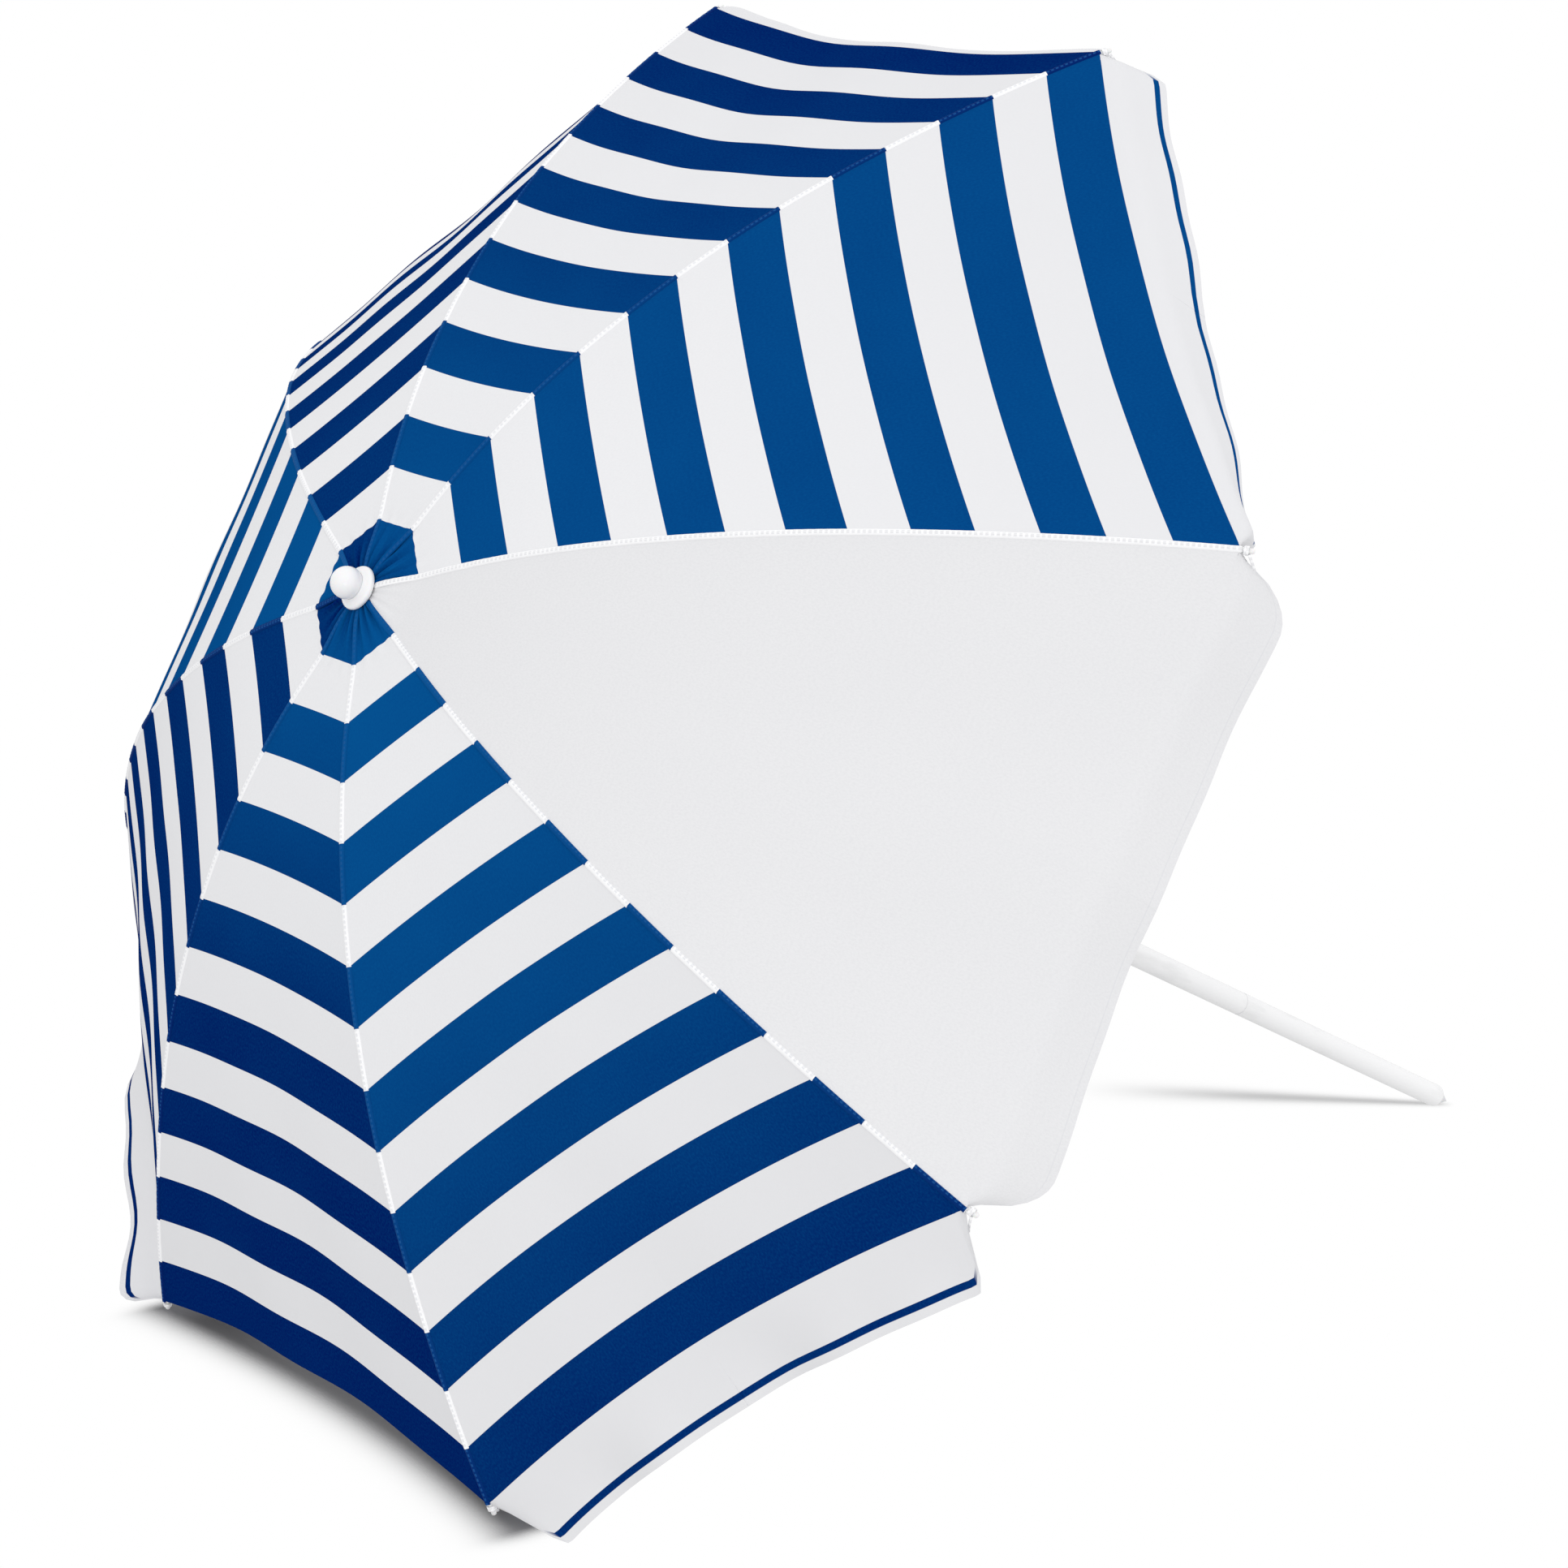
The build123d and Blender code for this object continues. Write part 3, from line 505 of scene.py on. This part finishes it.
def halfGore(k, side):
    other = k % 8 + 1 if side < 0 else (k - 2) % 8 + 1
    low, high = (k, other) if side < 0 else (other, k)
    gore, name = f"{low}{high}", f"gore{low}{high}_rib{k}"
    hang = valances[gore]
    grow = np.linspace(0, 1, canopy["rows"]) ** 1.25
    s = canopy["start"] + (ribLine["reach"] - canopy["start"]) * grow
    t = np.linspace(0, 1, canopy["columns"]) ** 1.55
    across = t / 2 if side < 0 else 1 - t / 2      # 0 at the gore's lower rib, 1 at its higher one
    cloth = goreSurface(k, side, gore, s, t)
    normal = gridNormals(cloth) * (1 if side > 0 else -1)
    normal *= np.sign(normal[..., 2:3].mean())
    fromEdges = np.sin(math.pi * across)[None, :]

    # gathers round the finial: a few deep pleats that die out along the first stripe
    pleats = np.sin(2 * math.pi * (3.5 * across + hang["phase"])) * np.sin(math.pi * t) ** 0.6
    gather = (1 - smooth(s, *canopy["gatherRun"]))[:, None] * pleats[None, :]
    gather = gather * canopy["gatherDepth"].get(gore, canopy["gatherDeep"])
    # the pull lines from the rib tips and a slack middle
    waves = np.sin(2 * math.pi * (2.2 * across[None, :] + 0.9 * s[:, None] + hang["phase"]))
    slack = canopy["slackDepth"] * smooth(s, 0.35, 0.9)[:, None] * fromEdges ** 2 * waves
    cloth = cloth + normal * (gather + slack)[..., None]

    # valance: from the rim along a leaning line, its corner rounded up to the rib's tip
    depth = np.linspace(0, 1, canopy["valanceRows"] + 1)[1:]
    halfWidth = float(np.linalg.norm(cloth[-1, -1] - cloth[-1, 0]))
    slopeAtRim = float(clothLine(ribLine["reach"])[2])
    fromRib = t * halfWidth
    run = np.clip((fromRib - canopy["splitFromRib"]) / hang["corner"], 0, 1)
    corner = (1 - (1 - run) ** 2.2) ** (1 / 2.2)
    # the cloth leaves the rim along the gore's slope and bends to the valance's own lean
    flare = np.radians(np.interp(across, [0, 0.5, 1], hang["flare"]))[None, :]
    foldRun = canopy["creased"].get(gore, canopy["foldRun"])
    bend = smooth(canopy["valanceDrop"] * depth, 0, foldRun)[:, None]
    lean = (math.pi / 2 - slopeAtRim) * (1 - bend) + flare * bend
    middle = ribAzimuth(k) + side * halfStep
    outward = np.array([math.cos(middle), math.sin(middle), 0.0])
    along = np.array([math.sin(middle), -math.cos(middle), 0.0])    # towards the higher rib
    up = np.array([0.0, 0.0, 1.0])
    down = outward * np.sin(lean)[..., None] - up * np.cos(lean)[..., None]
    face = outward * np.cos(lean)[..., None] + up * np.sin(lean)[..., None]
    ripple = hang["ripple"] * (np.sin(2 * math.pi * (2.3 * across + hang["phase"]))
                               + 0.45 * np.sin(2 * math.pi * (5.3 * across + 2 * hang["phase"])))
    ripple = ripple * fromEdges[0] ** 0.5
    # towards the middle of the gore, dying out from the rib inwards
    tuck = hang["tuck"][0 if side < 0 else 1] * np.exp(-fromRib / canopy["tuckRun"])
    pitch = canopy["valanceDrop"] / canopy["valanceRows"]
    hung = np.cumsum(down, axis=0) * pitch * corner[None, :, None]
    apron = (cloth[-1][None] + hung
             + face * (ripple[None, :] * depth[:, None] ** 1.2)[..., None]
             + along * (hang["slide"] * fromEdges * depth[:, None] ** 1.5
                        - side * tuck[None, :] * depth[:, None] * corner[None, :])[..., None])
    points = np.concatenate([cloth, apron])

    length = np.concatenate([s, ribLine["reach"] + canopy["valanceDrop"] * depth])
    spread = np.linalg.norm(points - points[:, -1:], axis=-1) * (1 if side > 0 else -1)
    uv = np.stack([spread, np.broadcast_to(length[:, None], spread.shape)], axis=-1)
    # painted shade and light on the pleats by the finial: darker and lighter facets in the blue
    pleats = np.sin(2 * math.pi * (2.5 * across + 1.7 * hang["phase"]))[None, :]
    pleats = pleats * (1 - smooth(length, *pleatShading["run"]))[:, None]
    shadeTone = shadeToneAlong(gore, length)[:, None] + pleatShading["depth"] * pleats
    hemTop = ribLine["reach"] + canopy["valanceDrop"] - canopy["hemDepth"]
    hem = smooth(length, hemTop - canopy["hemRise"], hemTop)
    thickness = canopy["thickness"] * (1 + canopy["hemThicker"] * hem[:, None])
    sliver = smooth(fromRib, canopy["sliverEnd"] - 0.001, canopy["sliverEnd"] + 0.001)
    drawn = {"shadeTone": shadeTone, "sliver": np.broadcast_to(sliver, spread.shape)}
    piece = thickSheet("cloth_" + name, points, uv, thickness, drawn, flip=side > 0)
    plain = gore == "34"
    piece.data.materials.append(finishes["plainCloth" if plain else "stripedCloth"])
    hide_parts(name)
    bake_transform(piece)
    return piece


for k in range(1, ribLine["count"] + 1):
    for side in (-1, 1):
        halfGore(k, side)
print("canopy: 16 half gores")

# ---- seams: a folded band along each rib, sewn down on both sides ----
seam = {
    "start": 0.021, "halfWidth": 0.0032, "height": 0.0015, "stations": 240,
    "aside": {4: -0.0022},         # the plain gore laps over this seam, so its band lies to one side
}


def ribSeam(k):
    s = np.linspace(seam["start"], ribLine["reach"] + 0.001, seam["stations"])
    r, z, slope = clothLine(s)
    centres = radial(ribAzimuth(k), r, z)
    upward = radial(ribAzimuth(k), np.sin(slope), np.cos(slope))
    sideways = np.broadcast_to([-math.sin(ribAzimuth(k)), math.cos(ribAzimuth(k)), 0.0], centres.shape)
    # section: x across the rib, y off the cloth; the cloth falls away by x tan(22.5) sin(slope)
    x = np.array([-1.0, -0.86, -0.45, 0.0, 0.45, 0.86, 1.0, 0.5, 0.0, -0.5]) * seam["halfWidth"]
    x = x + seam["aside"].get(k, 0.0)
    lift = np.array([-0.1, 0.75, 0.9, 1.25, 0.9, 0.75, -0.1, -0.4, -0.3, -0.4]) * seam["height"]
    fall = np.abs(x)[None, :] * math.tan(halfStep) * np.sin(slope)[:, None]
    pucker = 0.00012 * np.sin(2 * math.pi * s / 0.011)[:, None] * (lift > 0)[None, :]
    profile = np.stack([np.broadcast_to(x, fall.shape), lift + 0.0004 - fall + pucker], axis=-1)
    uv = np.stack([np.broadcast_to(x, fall.shape), np.broadcast_to(s[:, None], fall.shape)], axis=-1)
    piece = carryProfile(f"seam_rib{k}", centres, sideways, upward, profile, uv)
    piece.data.materials.append(finishes["plainSeam" if k == 3 else "stripedSeam"])
    beside = {1: "12", 3: "23", 4: "45"}.get(k, f"{k - 1}{k}")    # the gore whose painted shade tone the seam takes
    shadeTone = shadeToneAlong(beside, np.concatenate([s[:1], s, s[-1:]]))
    data = piece.data.attributes.new("shadeTone", "FLOAT", "POINT")
    data.data.foreach_set("value", np.repeat(shadeTone, len(x)).astype(np.float32))
    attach(piece, f"rib_{k}")


for k in range(1, ribLine["count"] + 1):
    ribSeam(k)
print("rib seams sewn")

# ---- ties: a tape loop round each rib's end, with a short tail ----
tie = {"loopRadius": 0.0041, "tape": 0.0014, "tail": 0.019, "turns": 2.0, "stations": 70}


def ribTie(k):
    # a helix of a few turns round the rib's end, then a tail that curls away
    r, z, slope = clothLine(ribLine["reach"] + 0.0065, 0.003)
    azimuth = ribAzimuth(k)
    forward = radial(azimuth, np.cos(slope), -np.sin(slope))
    upward = radial(azimuth, np.sin(slope), np.cos(slope))
    sideways = np.cross(forward, upward)
    centre = radial(azimuth, r, z)
    angle = np.linspace(0, tie["turns"] * 2 * math.pi, tie["stations"])
    hold = np.stack([0.0022 * angle / (2 * math.pi) - 0.003, tie["loopRadius"] * np.cos(angle),
                     tie["loopRadius"] * np.sin(angle)], axis=-1)
    away = np.linspace(0, 1, 24)[1:]
    wave = 0.35 * math.sin(k * 2.1)
    tail = np.stack([hold[-1, 0] + 0.006 * away, hold[-1, 1] + (tie["tail"] * (0.5 + wave)) * away,
                     hold[-1, 2] - tie["tail"] * away ** 1.4 * (0.6 - 0.3 * wave)], axis=-1)
    path = np.concatenate([hold, tail])
    path = centre + path[:, :1] * forward + path[:, 1:2] * sideways + path[:, 2:] * upward
    tangent = np.gradient(path, axis=0)
    tangent /= np.linalg.norm(tangent, axis=-1, keepdims=True)
    outward = np.cross(tangent, forward)
    outward /= np.linalg.norm(outward, axis=-1, keepdims=True)
    broad = np.cross(outward, tangent)
    turn = np.linspace(0, 2 * math.pi, 9)[:-1]
    profile = np.stack([tie["tape"] * np.cos(turn), 0.0005 * np.sin(turn)], axis=-1)
    profile = np.broadcast_to(profile, (len(path), *profile.shape))
    piece = carryProfile(f"tie_rib{k}", path, broad, outward, profile,
                         np.stack([profile[..., 0], np.broadcast_to(
                             np.linspace(0, 0.06, len(path))[:, None], profile.shape[:2])], axis=-1))
    piece.data.materials.append(finishes["plainSeam"])
    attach(piece, f"rib_{k}")


for k in range(1, ribLine["count"] + 1):
    ribTie(k)
print("ties knotted")

# ---- finial: a flared collar under the ball, its rim rolled over ----
finialLook = {
    # radius and height above the apex in millimetres: foot of the stem, rim, cove, seat of the ball
    "profile": ((4.2, 10.4), (14.0, 10.4), (18.6, 10.6), (21.2, 11.4), (22.6, 12.9), (22.9, 14.8),
                (22.4, 16.6), (21.0, 17.9), (19.0, 18.7), (17.2, 19.5), (15.8, 20.7), (15.0, 22.0),
                (13.1, 18.9), (11.6, 17.3), (9.7, 15.5), (4.2, 15.5)),
    "around": 96,
    "steps": 6,                    # short steps to each side of the profile
    "eased": 5,                    # how many of them the bends are eased over
}


def closingRow(rows, columns):
    # quads from the last ring back to the first, so that the collar is a closed ring
    here = np.arange(columns)
    ahead = (here + 1) % columns
    last = (rows - 1) * columns
    return np.stack([last + here, last + ahead, ahead, here], axis=-1)


def finialCollar():
    corner = np.array(finialLook["profile"]) / 1000
    whole = np.arange(len(corner))
    part = np.linspace(0, whole[-1], finialLook["steps"] * whole[-1] + 1)
    out, high = (np.interp(part, whole, corner[:, i]) for i in (0, 1))
    ease = np.ones(finialLook["eased"]) / finialLook["eased"]
    edge = finialLook["eased"] // 2
    out[edge:-edge] = np.convolve(out, ease, "valid")
    high[edge:-edge] = np.convolve(high, ease, "valid")
    angle = np.linspace(0, 2 * math.pi, finialLook["around"] + 1)[:-1]
    ring = np.stack([out[:, None] * np.cos(angle), out[:, None] * np.sin(angle)], axis=-1)
    level = np.broadcast_to((ribLine["crownHeight"] + high)[:, None, None], (*ring.shape[:2], 1))
    points = np.concatenate([ring, level], axis=-1)
    rows, columns = points.shape[:2]
    quads = np.concatenate([gridFaces(rows, columns, True), closingRow(rows, columns)])
    piece = buildMesh("finial_collar", points, quads, sharpAngle=40)
    piece.data.materials.append(finishes["finialGloss"])
    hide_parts("finial_flange")
    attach(piece, "top_pole")


finialCollar()
print("finial collar turned")

# ---- floor: where the umbrella lies, on two rib ends and the spike ----
floorLook = {
    "grid": 420,
    "rimFade": 0.034,              # how fast the shade under the rim dies out
    "rimBow": 0.030,
    "rimHalfWidth": 0.356,
    "poleStreak": (0.292, 0.268),  # which way the pole's shade runs from the spike
    "poleShade": 0.55,
    # the dark grey of the painted shadows on the floor
    "white": (0.20, 0.20, 0.205),
}


def layFloor():
    # the plane through the ends of ribs 5 and 6 and the spike's tip, opaque only in painted shadows near what
    # it carries and clear elsewhere
    r, z, slope = clothLine(ribLine["reach"] + 0.018)
    tips = [radial(ribAzimuth(k), r, z) for k in (5, 6)]
    ahead = (tips[0] + tips[1]) / 2
    length = float(np.linalg.norm(ahead))
    ahead = ahead / length
    side = np.array([0.0, 1.0, 0.0])
    up = np.cross(side, ahead)
    up *= np.sign(up[0])
    b, y = np.meshgrid(np.linspace(-0.1, length + 0.25, floorLook["grid"]),
                       np.linspace(-0.5, 0.5, floorLook["grid"] // 2), indexing="ij")
    points = ahead * b[..., None] + side * y[..., None] - up * 0.004
    # painted shadow under the rim between ribs 5 and 6, fading out beyond it
    rim = length - 0.012 - floorLook["rimBow"] * np.clip(1 - (y / floorLook["rimHalfWidth"]) ** 2, 0, 1)
    beyond = np.maximum(b - rim, 0) / floorLook["rimFade"]
    aside = np.maximum(np.abs(y) - 0.345, 0) / 0.018
    rimShadowMask = np.exp(-(beyond ** 2 + aside ** 2)) * smooth(b - rim, -0.060, -0.020)
    # painted shadow streak running from the spike beside the pole
    streak = np.array(floorLook["poleStreak"]) / np.linalg.norm(floorLook["poleStreak"])
    run, wide = b * streak[0] + y * streak[1], y * streak[0] - b * streak[1]
    poleShadowMask = np.exp(-(wide / (0.008 + 0.055 * np.maximum(run, 0))) ** 2)
    poleShadowMask *= smooth(run, -0.012, 0.02) * (1 - smooth(run, 0.20, 0.50))
    # how opaque the painted shadow is
    shadowCover = np.maximum(rimShadowMask, poleShadowMask * floorLook["poleShade"])
    floor = buildMesh("floor", points, gridFaces(*b.shape), None, {"shadowCover": shadowCover})
    normal = Vector(floor.data.polygons[0].normal)
    if normal.dot(Vector(up)) < 0:
        floor.data.flip_normals()
    material = bpy.data.materials.new("floor with painted shadow")
    material.use_nodes = True
    tree = material.node_tree
    tree.nodes.remove(tree.nodes["Principled BSDF"])
    surface = addNode(tree, "ShaderNodeBsdfDiffuse")
    surface.inputs["Color"].default_value = (*floorLook["white"], 1.0)
    nothing = addNode(tree, "ShaderNodeBsdfTransparent")
    shadowCover = addNode(tree, "ShaderNodeAttribute", attribute_name="shadowCover").outputs["Fac"]
    behind = addNode(tree, "ShaderNodeNewGeometry").outputs["Backfacing"]
    share = maths(tree, "MULTIPLY", shadowCover, maths(tree, "SUBTRACT", 1.0, behind))
    mixed = addNode(tree, "ShaderNodeMixShader")
    tree.links.new(share, mixed.inputs[0])
    tree.links.new(nothing.outputs[0], mixed.inputs[1])
    tree.links.new(surface.outputs[0], mixed.inputs[2])
    tree.links.new(mixed.outputs[0], tree.nodes["Material Output"].inputs["Surface"])
    floor.data.materials.append(material)


layFloor()
print("floor laid")

# ---- light: a white room and one large soft panel on the camera's side ----
lighting = {
    "room": 1.0,
    "brightSide": (0.71, -0.55, 0.44),   # the room is brighter from this direction
    "brighter": 0.30,
    "panelPlace": (-1.2, -3.2, 4.6),
    "panelAim": (0.0, 0.0, 1.3),
    "panelSize": 1.2,
    "panelPower": 9.0,
}


def lightScene():
    world = bpy.context.scene.world or bpy.data.worlds.new("room")
    bpy.context.scene.world = world
    world.use_nodes = True
    tree = world.node_tree
    background = tree.nodes["Background"]
    background.inputs["Color"].default_value = (1, 1, 1, 1)
    seen = addNode(tree, "ShaderNodeLightPath").outputs["Is Camera Ray"]
    toward = addNode(tree, "ShaderNodeVectorMath", operation="DOT_PRODUCT")
    tree.links.new(addNode(tree, "ShaderNodeTexCoord").outputs["Generated"], toward.inputs[0])
    toward.inputs[1].default_value = lighting["brightSide"]
    gain = lighting["brighter"] * lighting["room"]
    glow = maths(tree, "MULTIPLY_ADD", toward.outputs["Value"], gain, lighting["room"])
    # the camera sees pure white, the cloth is lit by the glow
    unseen = maths(tree, "SUBTRACT", 1.0, seen)
    feed(tree, background.inputs["Strength"], maths(tree, "MULTIPLY_ADD", glow, unseen, seen))
    light = bpy.data.lights.new("panel", "AREA")
    light.shape, light.size = "DISK", lighting["panelSize"]
    light.energy = lighting["panelPower"]
    panel = bpy.data.objects.new("panel", light)
    bpy.context.scene.collection.objects.link(panel)
    place = Vector(lighting["panelPlace"])
    aim = Vector(lighting["panelAim"]) - place
    panel.matrix_world = Matrix.Translation(place) @ aim.to_track_quat("-Z", "Y").to_matrix().to_4x4()
    bpy.context.scene.view_settings.view_transform = "Standard"


lightScene()

# ---- camera: looks down on the crown from the plain gore's side, rolled so that the pole points right ----
cameraView = {
    "place": (-0.2225, -3.3933, 4.0354),
    "aim": (0.0046, 0.0, 1.2063),
    "roll": 64.713,                # degrees clockwise from upright
    "lens": 94.45,
}


def setCamera():
    place, aim = Vector(cameraView["place"]), Vector(cameraView["aim"])
    ahead = (aim - place).normalized()
    level = ahead.cross(Vector((0, 0, 1))).normalized()
    roll = math.radians(cameraView["roll"])
    up = level.cross(ahead) * math.cos(roll) + level * math.sin(roll)
    axes = Matrix((ahead.cross(up), up, -ahead)).transposed().to_4x4()
    data = bpy.data.cameras.new("view")
    data.lens, data.sensor_width = cameraView["lens"], 36.0
    data.clip_start, data.clip_end = 0.1, 100.0
    camera = bpy.data.objects.new("view", data)
    bpy.context.scene.collection.objects.link(camera)
    camera.matrix_world = Matrix.Translation(place) @ axes
    bpy.context.scene.camera = camera


setCamera()
print("light and camera set")
